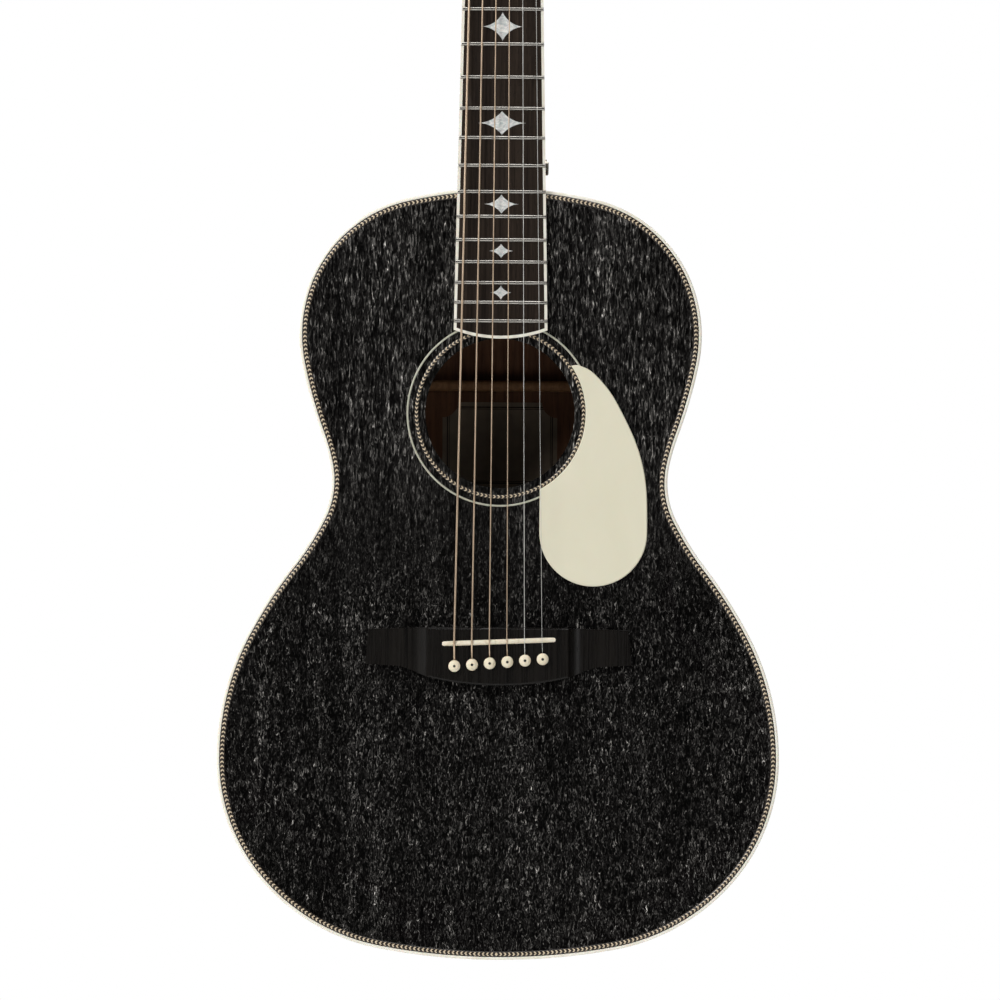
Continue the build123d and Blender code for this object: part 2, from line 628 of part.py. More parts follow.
def tuner_post():
    """Post with a waist and a string hole, a pinion of straight teeth and the screw that holds it."""
    post = turned([(0, GEAR_FRONT), (4.0, GEAR_FRONT), (4.0, PLATE_BACK - 0.1), (POST_RADIUS, PLATE_BACK - 0.1),
                   (POST_RADIUS, 1.8), (WAIST_RADIUS, 2.6), (WAIST_RADIUS, 7.6), (POST_RADIUS, 8.4),
                   (POST_RADIUS, POST_TOP - 0.6), (POST_RADIUS - 0.6, POST_TOP), (0, POST_TOP)], Pos(0, 0, 0))
    post -= rod((-5, 0, 6.9), (5, 0, 6.9), 0.95)
    corners = []
    step = 2 * math.pi / GEAR_TEETH
    for tooth in range(GEAR_TEETH):
        middle = -math.pi / 2 + (tooth + 0.5) * step
        for radius, half in ((GEAR_ROOT_RADIUS, 0.85), (GEAR_TOP_RADIUS, 0.2), (GEAR_TOP_RADIUS, -0.2),
                             (GEAR_ROOT_RADIUS, -0.85)):
            angle = middle - half / radius
            corners.append((radius * math.cos(angle), radius * math.sin(angle)))
    gear = Pos(0, 0, GEAR_BACK) * extrude(make_face(Polyline(*corners, close=True)), amount=GEAR_FRONT - GEAR_BACK)
    gear -= Pos(0, 0, GEAR_BACK) * Cylinder(1.2, 10)
    post -= Pos(0, 0, GEAR_FRONT) * Cylinder(1.2, 10)
    screw = dome_screw(Pos(0, 0, GEAR_BACK) * Rot(180, 0, 0), 2.6, 1.4, 1.2, 7.5)
    return post, gear, screw


def tuner_shaft():
    """Worm on its shaft, which runs out through two ears to the button."""
    length = 4 * WORM_PITCH
    thread = Solid.extrude_linear_with_rotation(
        Face(Wire([Edge.make_circle(WORM_CORE, Plane(origin=(0, WORM_THROW, 0), z_dir=(0, 0, 1)))])),
        center=(0, 0, 0), normal=(0, 0, length), angle=4 * 360)
    axis = Plane(origin=(-length / 2, -WORM_OFFSET, WORM_AXIS), x_dir=(0, 0, -1), z_dir=(1, 0, 0))
    thread = axis * thread
    core = rod((-EAR_AT - 1.8, -WORM_OFFSET, WORM_AXIS), (18.5, -WORM_OFFSET, WORM_AXIS), 1.38)
    journals = rod((-EAR_AT - 1.8, -WORM_OFFSET, WORM_AXIS), (-length / 2, -WORM_OFFSET, WORM_AXIS), KEY_RADIUS)
    journals += rod((length / 2, -WORM_OFFSET, WORM_AXIS), (18.5, -WORM_OFFSET, WORM_AXIS), KEY_RADIUS)
    collar = rod((EAR_AT + 1.0, -WORM_OFFSET, WORM_AXIS), (EAR_AT + 2.2, -WORM_OFFSET, WORM_AXIS), 2.4)
    return thread + core + journals + collar


def tuner_button():
    """Oval button with softened edges and a neck that grips the shaft."""
    oval = Pos(25, -WORM_OFFSET) * Ellipse(7.2, 8.6)
    button = Pos(0, 0, WORM_AXIS - 3.6) * extrude(oval, amount=7.2)
    button = fillet(button.edges(), 2.4)
    button += rod((15.5, -WORM_OFFSET, WORM_AXIS), (20, -WORM_OFFSET, WORM_AXIS), 3.2)
    return button - rod((10, -WORM_OFFSET, WORM_AXIS), (18.5, -WORM_OFFSET, WORM_AXIS), KEY_RADIUS)


TUNER_SCREWS = ((0, 9.6), (0, -15.0))


def tuner_plate():
    """Plate on the back of the head with two ears that carry the worm shaft."""
    outline = Pos(0, -2.7) * RectangleRounded(16, 31, 2.5)
    plate = Pos(0, 0, PLATE_BACK) * extrude(outline, amount=-HEAD_THICK - PLATE_BACK)
    for at in (-EAR_AT, EAR_AT):
        plate += block((at - EAR_THICK / 2, at + EAR_THICK / 2), (-WORM_OFFSET - 3.2, -WORM_OFFSET + 3.2),
                       (WORM_AXIS - 3, PLATE_BACK + 0.4))
    plate -= rod((-12, -WORM_OFFSET, WORM_AXIS), (12, -WORM_OFFSET, WORM_AXIS), KEY_RADIUS + FIT)
    plate -= Pos(0, 0, PLATE_BACK) * Cylinder(POST_RADIUS + FIT, 6)
    for x, u in TUNER_SCREWS:
        plate -= Pos(x, u, PLATE_BACK) * Cylinder(1.3, 6)
    return plate


def tuner_bushing():
    """Flanged bushing pressed into the front of the head."""
    return turned([(POST_RADIUS + FIT, -7), (4.8, -7), (4.8, 0), (6.6, 0), (6.6, 0.5), (5.6, 1.1),
                   (POST_RADIUS + FIT, 1.1)], Pos(0, 0, 0))


def tuner_holes():
    """Everything that a tuner needs cut out of the head."""
    holes = Pos(0, 0, -10) * Cylinder(3.9, 30) + Pos(0, 0, -2.5) * Cylinder(4.8, 9)
    for x, u in TUNER_SCREWS:
        holes += Pos(x, u, -HEAD_THICK + 3.5) * Cylinder(1.2, 9.2)
    return holes


def tuner_screws():
    """Two screws of one plate."""
    return [dome_screw(Pos(x, u, PLATE_BACK) * Rot(180, 0, 0), 2.4, 1.2, 1.2, 9.2) for x, u in TUNER_SCREWS]


# ---- Braces and other inside parts --------------------------------------------
def brace(start, end, width=8.0, height=14.0):
    """Brace under the soundboard, rounded on top and tapered at both ends."""
    run = Vector(end[0] - start[0], 0, end[1] - start[1])
    length = run.length
    section = Pos(0, height / 2 - 1) * Rectangle(width, height - 2) + Pos(0, height - 4) * Ellipse(width / 2, 4)
    bar = extrude(Plane.YZ * (section & Pos(0, height / 2) * Rectangle(width, height)), amount=length)
    slope = min(35.0, length / 3)
    side = make_face(Polyline((0, 0, 0), (length, 0, 0), (length, 0, 3), (length - slope, 0, height),
                              (slope, 0, height), (0, 0, 3), close=True))
    bar = bar & extrude(side, amount=width, dir=(0, 1, 0), both=True)
    return Plane(origin=(start[0], TOP_INSIDE, start[1]), x_dir=run, z_dir=(0, 1, 0)) * bar


def build_top_braces():
    """Crossed braces, tone bars, finger braces and the braces round the soundhole."""
    lines = [((-140, 394), (170, 115)), ((140, 394), (-170, 115)), ((-95, 170), (75, 92)), ((-136, 132), (15, 52)),
             ((-118, 428), (118, 428)), ((-62, 330), (-62, 425)), ((62, 330), (62, 425))]
    lines += [((side * x0, z0), (side * x1, z1)) for side in (1, -1)
              for x0, z0, x1, z1 in ((62, 216, 135, 252), (100, 181, 168, 208))]
    bars = [brace(start, end, 6.5, 9.0) if index > 3 and index != 4 else brace(start, end)
            for index, (start, end) in enumerate(lines)]
    return joined(bars) & form(INSIDE, TOP_INSIDE)


BACK_BRACES = (438.0, 368.5, 225.0, 105.0)
SEAM_STRIP_END = 298.0


def build_back_braces(blocks, label_room):
    """Cross braces on the back and the strip along its middle seam."""
    bars = []
    for z in BACK_BRACES:
        inner = back_depth(z) - BACK_THICK
        section = Pos(inner - 6, z) * Rectangle(13, 7) + Pos(inner - 12.5, z) * Ellipse(3.5, 3.5)
        bars.append(Pos(-180, 0, 0) * extrude(Plane.YZ * section, amount=360))
    strip = block((-8, 8), (0, FAR), (10, SEAM_STRIP_END)) - back_ball(BACK_RADIUS - BACK_THICK - 2)
    inside = form(INSIDE) & back_ball(BACK_RADIUS - BACK_THICK)
    solid = joined(bars + [strip - label_room])
    return (solid & inside) - blocks


def build_label():
    """Blank paper label with hollowed upper corners, on the inside of the back."""
    width, low, high, corner = 75.0, 302.0, 358.0, 10.0
    profile = Pos(0, (low + high) / 2) * Rectangle(width, high - low)
    for side in (1, -1):
        profile -= Pos(side * width / 2, high) * Circle(corner)
    ball = back_ball(BACK_RADIUS - BACK_THICK)
    return slab(profile, 0, FAR) & ball - back_ball(BACK_RADIUS - BACK_THICK - 0.3)


def pickguard():
    """Teardrop guard that follows the rosette and swells below it."""
    inner = 54.4
    start = (inner * math.cos(math.radians(-62)), inner * math.sin(math.radians(-62)))
    top = (inner * math.cos(math.radians(34)), inner * math.sin(math.radians(34)))
    left, right, low = start[0], 94.0, -75.4
    middle, half_width = (left + right) / 2, (right - left) / 2
    edges = [
        Edge.make_three_point_arc(top, (inner * math.cos(math.radians(-14)), inner * math.sin(math.radians(-14))),
                                  start),
        Edge.make_line(start, (left, low)),
        Edge.make_three_point_arc((left, low), (middle, low - half_width), (right, low)),
        Edge.make_spline([(right, low), (91.8, -36.7), (86.3, -17.7), (78, 0.1), (69.6, 14.4), (60.5, 24.8), (52, 30)],
                         tangents=[(0, 1), (-1, 0.32)]),
        Edge.make_three_point_arc((52, 30), (48, 31), top),
    ]
    guard = slab(Pos(0, HOLE_Z) * make_face(edges), TOP_FACE - PICKGUARD_THICK, TOP_FACE)
    rim = guard.edges().filter_by_position(Axis.Y, TOP_FACE - PICKGUARD_THICK - 0.01, TOP_FACE - PICKGUARD_THICK + 0.01)
    return chamfer(rim, 0.5)


def strap_button(plane):
    """Waisted strap button, seat on the plane."""
    outline = [(0, 0), (5.6, 0), (5.6, 1.2), (3.6, 3.4), (3.6, 6.6), (5.1, 9.4), (5.1, 11.0), (4.4, 11.6), (0, 11.6)]
    button = turned(outline, Pos(0, 0, 0)) - Pos(0, 0, 5) * Cylinder(2.0, 20)
    return plane * (button - Pos(0, 0, 10.6) * Cylinder(3.4, 3))


def strap_screw(plane):
    """Screw through a strap button."""
    return dome_screw(plane * Pos(0, 0, 9.1), 3.2, 1.6, 2.0, 30)


# ---- The whole guitar ---------------------------------------------------------
def main():
    os.makedirs("parts", exist_ok=True)
    numbers = range(1, 7)
    heel_plane = Plane(origin=(18.6, -12, 508.2), x_dir=(0, 1, 0), z_dir=(1, 0, 0))
    screw_room = heel_plane * Pos(0, 0, -9) * Cylinder(2.0, 40)
    pin_holes = joined([pin_hole(number) for number in numbers])
    tenon = dovetail()

    rosette = [disc(0, HOLE_Z, outer, TOP_FACE, TOP_FACE + ROSETTE_DEPTH)
               - disc(0, HOLE_Z, inner, TOP_FACE, TOP_FACE + ROSETTE_DEPTH) for inner, outer in ROSETTE_RINGS]
    purfling = ring(-PURFLING, 0, TOP_FACE, TOP_FACE + PURFLING_DEPTH)
    soundboard = form(0, TOP_FACE, TOP_INSIDE) - purfling - joined(rosette)
    soundboard -= disc(0, HOLE_Z, HOLE_RADIUS, TOP_FACE - 1, TOP_INSIDE + 1)
    save("soundboard", soundboard - pin_holes - tenon)
    save("top_purfling", purfling - tenon)
    save("rosette", *rosette)

    outer_ball = back_ball(BACK_RADIUS)
    inner_ball = back_ball(BACK_RADIUS - BACK_THICK)
    binding_ball = back_ball(BACK_RADIUS - BINDING_DEPTH)
    save("back_plate", form(0, 0, FAR) & outer_ball - inner_ball)
    save("top_binding", ring(0, BINDING, TOP_FACE, TOP_FACE + BINDING_DEPTH) - tenon)
    save("back_binding", ring(0, BINDING, 0, FAR) & outer_ball - binding_ball)
    sides = (ring(0, BINDING, TOP_FACE + BINDING_DEPTH, FAR) & binding_ball) - tenon
    save("side_bass", sides & block((-200, 0), (-60, FAR), (-5, 500)))
    save("side_treble", sides & block((0, 200), (-60, FAR), (-5, 500)))

    cavity = form(0, TOP_INSIDE) & inner_ball
    neck_block = cavity & block((-39, 39), (-60, FAR), (NECK_END - 27, BODY_TOP))
    tail_block = cavity & block((-35, 35), (-60, FAR), (0, 20))
    save("end_blocks", neck_block - tenon, tail_block)
    blocks = joined([neck_block, tail_block])
    top_lining = ring(-LINING_WIDTH, 0, TOP_INSIDE, TOP_INSIDE + LINING_HEIGHT) - blocks
    back_lining = (ring(-LINING_WIDTH, 0, 0, FAR) & inner_ball) - back_ball(
        BACK_RADIUS - BACK_THICK - LINING_HEIGHT) - blocks
    save("linings", top_lining, back_lining)

    braces = build_top_braces() - blocks
    save("top_braces", braces)
    plate_outline = make_face(Polyline((-50, 216), (50, 216), (76, 174), (-76, 174), close=True))
    save("bridge_plate", slab(plate_outline, TOP_INSIDE, PLATE_INSIDE) - pin_holes - braces)
    save("label", build_label())
    label_room = block((-10, 10), (-5, FAR), (298, 372))
    save("back_braces", build_back_braces(blocks, label_room))
    save("pickguard", pickguard())

    save("bridge", build_bridge())
    save("saddle", build_saddle())
    for number in numbers:
        save(f"bridge_pin_{number}", *bridge_pin(number))
    strings = [build_string(number) for number in numbers]
    save("plain_strings", *strings[:PLAIN_COUNT])
    save("wound_strings", *strings[PLAIN_COUNT:])
    save("string_ball_ends", *[ball_end(number) for number in numbers])

    head_cuts = joined([placed(number, tuner_holes()) for number in numbers])
    cover_screws = [dome_screw(HEAD * Pos(x, u, 1.6), 1.9, 0.9, 1.0, 8) for x, u in COVER_SCREWS]
    cover_holes = joined([HEAD * Pos(x, u, -1) * Cylinder(1.0, 12) for x, u in COVER_SCREWS])
    neck = build_neck() - head_cuts - screw_room - cover_holes
    save("neck", neck)
    save("headstock_veneer", head_slab(0, -VENEER) - head_cuts - rod_pocket() - cover_holes
         - block((-40, 40), (-80, 0), (800, NUT_Z + NUT_LENGTH)))
    save("truss_rod_cover", truss_cover() - cover_holes)
    save("truss_rod", rod((0, ROD_Y, 500), (0, ROD_Y, NUT_Z + 18), ROD_RADIUS))
    nut_bar = Pos(0, ROD_Y, NUT_Z + 9.6) * extrude(RegularPolygon(3.25, 6, major_radius=False), amount=10)
    save("truss_rod_nut", nut_bar - rod((0, ROD_Y, 500), (0, ROD_Y, NUT_Z + 18.2), ROD_RADIUS + ROD_GAP))
    save("heel_cap", heel_cap())
    save("strap_button", strap_button(heel_plane) - neck)
    save("wood_screws", strap_screw(heel_plane), *cover_screws)

    tangs = joined([tang(number) for number in range(1, FRET_COUNT + 1)])
    markers = [marker(number) for number in MARKERS]
    dots = joined(side_dots())
    core = board_form(EDGE_BINDING)
    binding = board_form(0.0) - core
    save("fretboard", core - tangs - joined(markers))
    save("fretboard_binding", binding - dots)
    save("frets", *[fret(number) for number in range(1, FRET_COUNT + 1)])
    save("position_markers", *markers, binding & dots)
    save("nut", build_nut())

    save("tuner_plates", *[placed(number, tuner_plate()) for number in numbers])
    save("tuner_bushings", *[placed(number, tuner_bushing()) for number in numbers])
    save("tuner_screws", *[placed(number, screw) for number in numbers for screw in tuner_screws()])
    for number in numbers:
        save(f"tuner_shaft_{number}", placed(number, tuner_shaft()))
        save(f"tuner_button_{number}", placed(number, tuner_button()))
        save(f"tuner_post_{number}", *[placed(number, piece) for piece in tuner_post()])


main()
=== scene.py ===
import math

import bmesh
import bpy
import numpy as np
from mathutils import Matrix, Vector


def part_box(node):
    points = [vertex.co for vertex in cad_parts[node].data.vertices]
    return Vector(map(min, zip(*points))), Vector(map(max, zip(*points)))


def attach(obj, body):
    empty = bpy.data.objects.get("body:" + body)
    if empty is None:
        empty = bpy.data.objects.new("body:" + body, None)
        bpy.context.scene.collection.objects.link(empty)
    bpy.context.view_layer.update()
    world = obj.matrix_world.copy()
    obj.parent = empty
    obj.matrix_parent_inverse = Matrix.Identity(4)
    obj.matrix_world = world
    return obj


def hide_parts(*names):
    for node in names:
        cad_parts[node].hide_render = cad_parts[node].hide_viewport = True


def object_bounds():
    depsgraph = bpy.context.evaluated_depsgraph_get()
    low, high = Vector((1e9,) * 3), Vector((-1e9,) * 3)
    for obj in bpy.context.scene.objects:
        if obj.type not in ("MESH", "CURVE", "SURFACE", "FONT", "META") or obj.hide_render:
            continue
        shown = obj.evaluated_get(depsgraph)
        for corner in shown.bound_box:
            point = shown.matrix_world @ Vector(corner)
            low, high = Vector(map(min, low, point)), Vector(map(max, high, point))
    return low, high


# Steel-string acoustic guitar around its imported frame. Metres; +Z up the neck, soundboard towards -Y.

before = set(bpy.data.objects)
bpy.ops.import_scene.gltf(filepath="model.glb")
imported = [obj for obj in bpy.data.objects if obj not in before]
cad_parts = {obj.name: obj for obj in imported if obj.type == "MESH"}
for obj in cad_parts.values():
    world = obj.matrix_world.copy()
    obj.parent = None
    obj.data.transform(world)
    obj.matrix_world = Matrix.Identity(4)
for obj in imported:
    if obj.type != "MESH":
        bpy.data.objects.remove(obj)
cad_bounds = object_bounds()
ROOT = "guitar"
MM = 0.001


# ---- Node graphs --------------------------------------------------------------
class Graph:
    """A material's node graph, built from small pieces."""

    def __init__(self, name, rough=0.5, metal=0.0, specular=0.5, coat=0.0, coat_rough=0.1):
        self.material = bpy.data.materials.new(name)
        self.material.use_nodes = True
        self.tree = self.material.node_tree
        self.shader = self.tree.nodes["Principled BSDF"]
        self.shader.inputs["Roughness"].default_value = rough
        self.shader.inputs["Metallic"].default_value = metal
        self.shader.inputs["Specular IOR Level"].default_value = specular
        self.shader.inputs["Coat Weight"].default_value = coat
        self.shader.inputs["Coat Roughness"].default_value = coat_rough
        self.place = self.tree.nodes.new("ShaderNodeTexCoord")

    def put(self, socket, value):
        """Link a socket to an input, or set a plain value."""
        if isinstance(value, bpy.types.NodeSocket):
            self.tree.links.new(value, socket)
        elif hasattr(value, "__len__") and len(value) == 3 and socket.type == "RGBA":
            socket.default_value = (*value, 1.0)
        else:
            socket.default_value = value

    def mapped(self, scale, kind="Object"):
        """Surface coordinates stretched by a scale along each axis."""
        node = self.tree.nodes.new("ShaderNodeMapping")
        self.put(node.inputs["Vector"], self.place.outputs[kind])
        node.inputs["Scale"].default_value = scale
        return node.outputs["Vector"]

    def axes(self, kind="Object"):
        """The three surface coordinates."""
        node = self.tree.nodes.new("ShaderNodeSeparateXYZ")
        self.put(node.inputs[0], self.place.outputs[kind])
        return node.outputs

    def noise(self, scale, detail=2.0, rough=0.5, distort=0.0, kind="Object"):
        """Noise with a cell size of one over the scale along each axis."""
        node = self.tree.nodes.new("ShaderNodeTexNoise")
        self.put(node.inputs["Vector"], self.mapped(scale, kind))
        node.inputs["Scale"].default_value = 1.0
        node.inputs["Detail"].default_value = detail
        node.inputs["Roughness"].default_value = rough
        node.inputs["Distortion"].default_value = distort
        return node.outputs["Fac"]

    def math(self, operation, first, second=0.5, third=0.0, clamp=False):
        """Arithmetic on numbers."""
        node = self.tree.nodes.new("ShaderNodeMath")
        node.operation = operation
        node.use_clamp = clamp
        for socket, value in zip(node.inputs, (first, second, third)):
            self.put(socket, value)
        return node.outputs[0]

    def span(self, value, low, high, out_low=0.0, out_high=1.0):
        """Map a range to another, clamped."""
        node = self.tree.nodes.new("ShaderNodeMapRange")
        for key, number in (("Value", value), ("From Min", low), ("From Max", high),
                            ("To Min", out_low), ("To Max", out_high)):
            self.put(node.inputs[key], number)
        return node.outputs[0]

    def mix(self, factor, first, second):
        """Blend two colours."""
        node = self.tree.nodes.new("ShaderNodeMix")
        node.data_type = "RGBA"
        self.put(node.inputs["Factor"], factor)
        self.put(node.inputs[6], first)
        self.put(node.inputs[7], second)
        return node.outputs[2]

    def bump(self, height, distance, strength=1.0):
        """Surface relief of the given depth."""
        node = self.tree.nodes.new("ShaderNodeBump")
        node.inputs["Strength"].default_value = strength
        node.inputs["Distance"].default_value = distance
        self.put(node.inputs["Height"], height)
        self.put(self.shader.inputs["Normal"], node.outputs["Normal"])

    def finish(self, color=None, rough=None):
        """Connect colour and roughness."""
        if color is not None:
            self.put(self.shader.inputs["Base Color"], color)
        if rough is not None:
            self.put(self.shader.inputs["Roughness"], rough)
        return self.material


def srgb(*levels):
    """Linear colour of 8-bit display levels."""
    return tuple((v / 255 / 12.92) if v <= 10 else ((v / 255 + 0.055) / 1.055) ** 2.4 for v in levels)


# ---- Materials ----------------------------------------------------------------
PORE_MIDDLE = 0.5           # level of the noise at the middle of the pore range
PORE_CONTRAST = 17.5
PORE_CONTRAST_BELOW = 2.0   # added contrast in the lower bout
PORE_FADE_BELOW = 0.5       # share of the pores' light lost there
LOWER_BOUT = (0.22, 0.33)   # heights between which the lower bout's figure fades out
BLACK_FINISH = (0.0009, 0.0008, 0.0008)
PORE_FILL = (1.0, 0.95, 0.89)


def black_mahogany(name, pore_light, specular):
    """Black finish over pale-filled open pores, long in the upper bout and short below."""
    g = Graph(name, rough=0.42, specular=specular)
    long_pores = g.noise((820, 820, 170), 3.0, 0.62, 0.9)
    short_pores = g.noise((720, 720, 270), 3.0, 0.6, 1.3)
    lower = g.span(g.axes()[2], *LOWER_BOUT, 1.0, 0.0)
    pores = g.math("MULTIPLY_ADD", g.math("SUBTRACT", short_pores, long_pores), lower, long_pores)
    band = g.noise((110, 110, 5), 2.0, 0.55)
    patch = g.noise((22, 22, 12), 2.0, 0.5)
    level = g.math("MULTIPLY_ADD", g.math("SUBTRACT", band, 0.5), 0.12, pores)
    level = g.math("MULTIPLY_ADD", g.math("SUBTRACT", patch, 0.5), 0.08, level)
    contrast = g.math("MULTIPLY_ADD", lower, PORE_CONTRAST_BELOW, PORE_CONTRAST)
    exponent = g.math("MULTIPLY", g.math("SUBTRACT", level, PORE_MIDDLE), contrast)
    filled = g.math("POWER", math.e, exponent)
    strength = g.math("MULTIPLY", g.math("MULTIPLY_ADD", lower, -PORE_FADE_BELOW, 1.0), pore_light)
    color = g.mix(g.math("MULTIPLY", filled, strength, clamp=True), BLACK_FINISH, PORE_FILL)
    g.bump(g.math("SUBTRACT", 1.0, pores), 0.00006, 0.5)
    return g.finish(color, g.span(pores, 0.4, 0.7, 0.38, 0.6))


def black_satin(name, tint=(24, 21, 19), rough=0.34):
    """Black satin finish with a trace of grain."""
    g = Graph(name, specular=0.45)
    grain = g.noise((900, 900, 30), 3.0, 0.6)
    cloud = g.noise((40, 40, 8), 2.0)
    color = g.mix(g.span(grain, 0.42, 0.75), srgb(*tint), srgb(*[v + 20 for v in tint]))
    g.bump(grain, 0.00003, 0.35)
    return g.finish(color, g.span(cloud, 0.3, 0.7, rough - 0.05, rough + 0.08))


def bare_wood(name, dark, light, across=260, along=7):
    """Unfinished wood with long grain."""
    g = Graph(name, specular=0.25)
    grain = g.noise((across, across, along), 4.0, 0.62, 0.6)
    pores = g.noise((across * 7, across * 7, along * 9), 2.0, 0.6)
    color = g.mix(g.span(grain, 0.32, 0.68), srgb(*dark), srgb(*light))
    color = g.mix(g.span(pores, 0.56, 0.74, 0.0, 0.5), color, srgb(*[v * 0.55 for v in dark]))
    g.bump(pores, 0.00004, 0.4)
    return g.finish(color, 0.72)


def board_wood(name, dark, light, rough=0.42, specular=0.1):
    """Oiled dark wood with fine streaks along the neck."""
    g = Graph(name, specular=specular)
    streak = g.noise((620, 620, 13), 4.0, 0.66, 0.4)
    wide = g.noise((130, 130, 4), 2.0, 0.5, 0.5)
    pore = g.noise((3600, 3600, 190), 1.0, 0.5)
    level = g.math("ADD", g.math("MULTIPLY", streak, 0.65), g.math("MULTIPLY", wide, 0.35))
    color = g.mix(g.span(level, 0.36, 0.66), srgb(*dark), srgb(*light))
    hole = g.span(pore, 0.6, 0.72)
    color = g.mix(g.math("MULTIPLY", hole, 0.7), color, srgb(9, 7, 6))
    g.bump(g.math("SUBTRACT", 1.0, hole), 0.00005, 0.5)
    return g.finish(color, g.span(streak, 0.3, 0.7, rough - 0.07, rough + 0.12))


def smooth_plastic(name, tint, shade, rough=0.22, scale=90, coat=0.0):
    """Plastic or bone with faint clouding."""
    g = Graph(name, specular=0.5, coat=coat)
    g.shader.inputs["Subsurface Weight"].default_value = 0.06
    g.shader.inputs["Subsurface Scale"].default_value = 0.002
    cloud = g.noise((scale, scale, scale * 0.6), 3.0, 0.55, 0.8)
    fine = g.noise((scale * 24, scale * 24, scale * 24), 1.0)
    color = g.mix(g.span(cloud, 0.32, 0.68), srgb(*shade), srgb(*tint))
    g.bump(fine, 0.00001, 0.25)
    return g.finish(color, g.span(cloud, 0.3, 0.7, rough - 0.02, rough + 0.03))


def plated(name, tint, rough=0.2, wear=0.25):
    """Plated metal with fine wear."""
    g = Graph(name, metal=1.0)
    cloud = g.noise((300, 300, 300), 3.0, 0.6)
    scratch = g.noise((2500, 2500, 260), 2.0, 0.6)
    color = g.mix(g.span(cloud, 0.35, 0.7), srgb(*tint), srgb(*[v * 0.86 for v in tint]))
    g.bump(scratch, 0.00001, wear)
    return g.finish(color, g.span(cloud, 0.3, 0.72, rough - 0.06, rough + 0.14))


def pearl():
    """Shell inlay: silvery, with drifting soft tints."""
    g = Graph("pearl", rough=0.16, specular=0.6, coat=0.4)
    flow = g.noise((210, 210, 320), 2.0, 0.5, 2.4)
    cell = g.noise((420, 420, 260), 2.0, 0.5, 3.0)
    color = g.mix(g.span(flow, 0.32, 0.68), srgb(158, 166, 170), srgb(236, 234, 228))
    tint = g.mix(g.span(cell, 0.4, 0.62), srgb(196, 214, 208), srgb(232, 214, 214))
    return g.finish(g.mix(0.35, color, tint), g.span(flow, 0.3, 0.7, 0.12, 0.3))


def herringbone(name, pitch_shift, edge):
    """Marquetry of slanted light and dark slips; u counts slips, v runs across."""
    g = Graph(name, rough=0.36, specular=0.45)
    u, v, _ = g.axes("UV")
    off = g.math("ABSOLUTE", g.math("SUBTRACT", v, 0.5))
    phase = g.math("FRACT", g.math("MULTIPLY_ADD", off, pitch_shift, u))
    saw = g.math("ABSOLUTE", g.math("SUBTRACT", phase, 0.5))
    slip = g.span(saw, 0.27, 0.35)
    slip = g.math("MULTIPLY", slip, g.span(off, 0.5 - edge - 0.03, 0.5 - edge, 1.0, 0.0))
    wood = g.noise((1500, 1500, 400), 2.0)
    light = g.mix(g.span(wood, 0.3, 0.7), srgb(188, 170, 142), srgb(214, 197, 170))
    dark = g.mix(g.span(wood, 0.3, 0.7), srgb(22, 15, 10), srgb(38, 29, 21))
    g.bump(slip, 0.00002, 0.3)
    return g.finish(g.mix(slip, dark, light), 0.36)


LABEL_LINES = ((0.0032, 0.00035), (0.0044, 0.00018))     # inset from the edge and half width


def label_paper_painted_shade(low, high):
    """Blank paper with a border of two thin lines, its tone darkened with painted shade for the shadow
    inside the body.
    """
    g = Graph("label_paper_painted_shade", specular=0.2)
    x, _, z = g.axes()
    side = g.math("SUBTRACT", high.x, g.math("ABSOLUTE", x))
    ends = g.math("MINIMUM", g.math("SUBTRACT", high.z, z), g.math("SUBTRACT", z, low.z))
    inset = g.math("MINIMUM", side, ends)
    thick, thin = [g.math("LESS_THAN", g.math("ABSOLUTE", g.math("SUBTRACT", inset, middle)), half)
                   for middle, half in LABEL_LINES]
    line = g.math("MAXIMUM", thick, thin)
    cloud = g.noise((60, 60, 60), 4.0, 0.6)
    fibre = g.noise((2600, 2600, 900), 2.0)
    # Painted shade: the paper's tone is dimmed to a mid brown, standing in for the shadow that falls
    # inside the body.
    paper = g.mix(g.span(cloud, 0.3, 0.7), srgb(112, 100, 86), srgb(134, 121, 104))
    g.bump(fibre, 0.00003, 0.3)
    return g.finish(g.mix(line, paper, srgb(40, 28, 20)), 0.8)


def wire(name, tint, pitch, rough=0.26):
    """Bright string wire; a wound string's turns are in its shape."""
    g = Graph(name, metal=1.0)
    cloud = g.noise((900, 900, 24), 2.0)
    color = g.mix(g.span(cloud, 0.3, 0.7), srgb(*tint), srgb(*[v * 0.8 for v in tint]))
    g.bump(g.noise((pitch, pitch, pitch), 1.0), 0.00001, 0.2)
    return g.finish(color, g.span(cloud, 0.3, 0.7, rough - 0.05, rough + 0.1))


